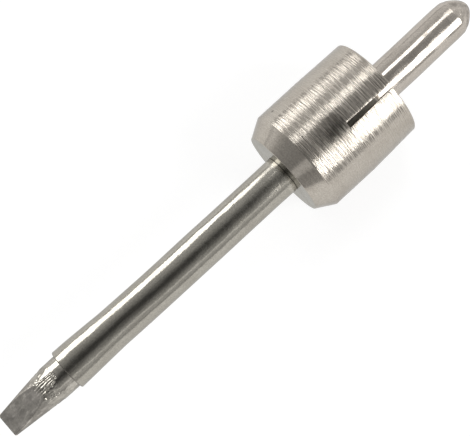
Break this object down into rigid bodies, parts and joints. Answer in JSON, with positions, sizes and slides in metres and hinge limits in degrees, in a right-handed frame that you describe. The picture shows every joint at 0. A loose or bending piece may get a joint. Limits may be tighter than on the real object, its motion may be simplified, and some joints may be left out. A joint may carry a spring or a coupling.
{
  "type": "soldering iron tip",
  "caption": "Self-heating soldering tip: chisel bit in a thin tube, turned collar with a slotted skirt, and a round-nosed contact pin on the same axis.",
  "frame": {"origin": "on the axis, in the plane of the collar's rear face", "axes": "+X along the axis to the working edge, the contact pin along -X, the flats of the chisel facing +Z and -Z"},
  "size_m": [0.0601, 0.0112, 0.0113],
  "materials": {
    "plated_bit": "iron and tin plate, dull grey on the flats, bright and wrinkled at their root",
    "polished_tube": "polished nickel plate, slightly wavy",
    "turned_collar": "nickel plate over fine turning marks",
    "dark_bush": "moulded insulator, dark where the skirt shades it",
    "polished_pin": "polished nickel plate",
    "core_ceramic": "unglazed",
    "resistance_wire": "oxidised drawn wire",
    "sleeve_ceramic": "unglazed",
    "lead_metal": "bare drawn metal"
  },
  "bodies": {
    "root": {"chisel_bit": "plated_bit", "heater_tube": "polished_tube", "collar": "turned_collar", "insulating_bush": "dark_bush", "contact_pin": "polished_pin", "ceramic_core": "core_ceramic", "heater_coil": "resistance_wire", "ceramic_sleeve": "sleeve_ceramic", "centre_lead": "lead_metal"}
  },
  "joints": []
}
